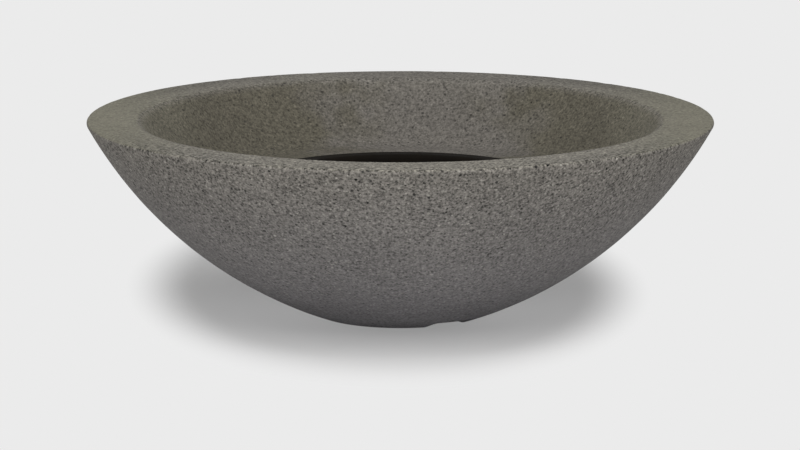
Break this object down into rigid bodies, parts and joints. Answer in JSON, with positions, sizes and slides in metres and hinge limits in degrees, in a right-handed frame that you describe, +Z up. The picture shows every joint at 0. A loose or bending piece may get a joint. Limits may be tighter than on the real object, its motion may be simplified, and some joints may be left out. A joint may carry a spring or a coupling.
{
  "type": "bowl planter",
  "caption": "Wide concrete bowl planter with a flat rim, a drop-in plastic liner in its shelf, a rubber drain plug and a drainage channel across its foot.",
  "frame": {"origin": "centre of the foot, on the ground", "axes": "+Z up along the bowl's axis; -Y towards the side the picture shows; one mouth of the drainage channel lies 33 degrees from -Y towards +X"},
  "size_m": [0.6999, 0.7, 0.222],
  "materials": {
    "concrete": "matte",
    "liner_plastic": "matte",
    "plug_rubber": "matte"
  },
  "bodies": {
    "bowl": {"bowl_shell": "concrete"},
    "liner": {"planting_liner": "liner_plastic"},
    "plug": {"drain_plug": "plug_rubber"}
  },
  "joints": [
    {"name": "liner_lift", "type": "slide", "parent": "bowl", "child": "liner", "axis": [0, 0, 1], "range_m": [0, 0.18]},
    {"name": "plug_pull", "type": "slide", "parent": "bowl", "child": "plug", "axis": [0, 0, 1], "range_m": [0, 0.02]}
  ]
}
